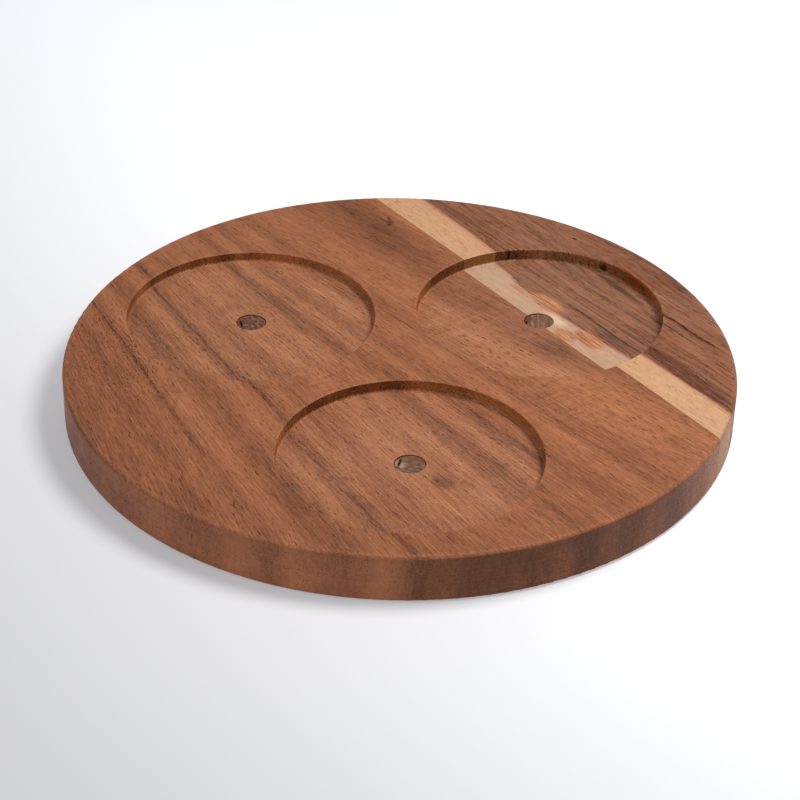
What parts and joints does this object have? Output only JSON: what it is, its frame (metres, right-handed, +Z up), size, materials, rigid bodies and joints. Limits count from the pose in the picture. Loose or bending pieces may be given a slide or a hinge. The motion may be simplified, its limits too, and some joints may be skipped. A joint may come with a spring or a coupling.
{
  "type": "offering plate",
  "caption": "Round offering plate in solid wood, edge-glued from heartwood and sapwood boards, with shallow round wells for bowls or candles, each with a wood plug in its floor.",
  "frame": {"origin": "centre of the round underside, on the surface that the plate lies on", "axes": "+Z up through the plate's thickness; +Y along the grain; +X towards the right well and the sapwood board"},
  "size_m": [0.2702, 0.2701, 0.02],
  "materials": {
    "heartwood": "oiled, satin",
    "sapwood": "oiled, satin; pale sapwood along its glued edge, streaked heartwood beyond it",
    "plug_wood": "oiled, matt"
  },
  "bodies": {
    "root": {"main_board": "heartwood", "sapwood_board": "sapwood", "left_well_plug": "plug_wood", "right_well_plug": "plug_wood", "front_well_plug": "plug_wood"}
  },
  "joints": []
}
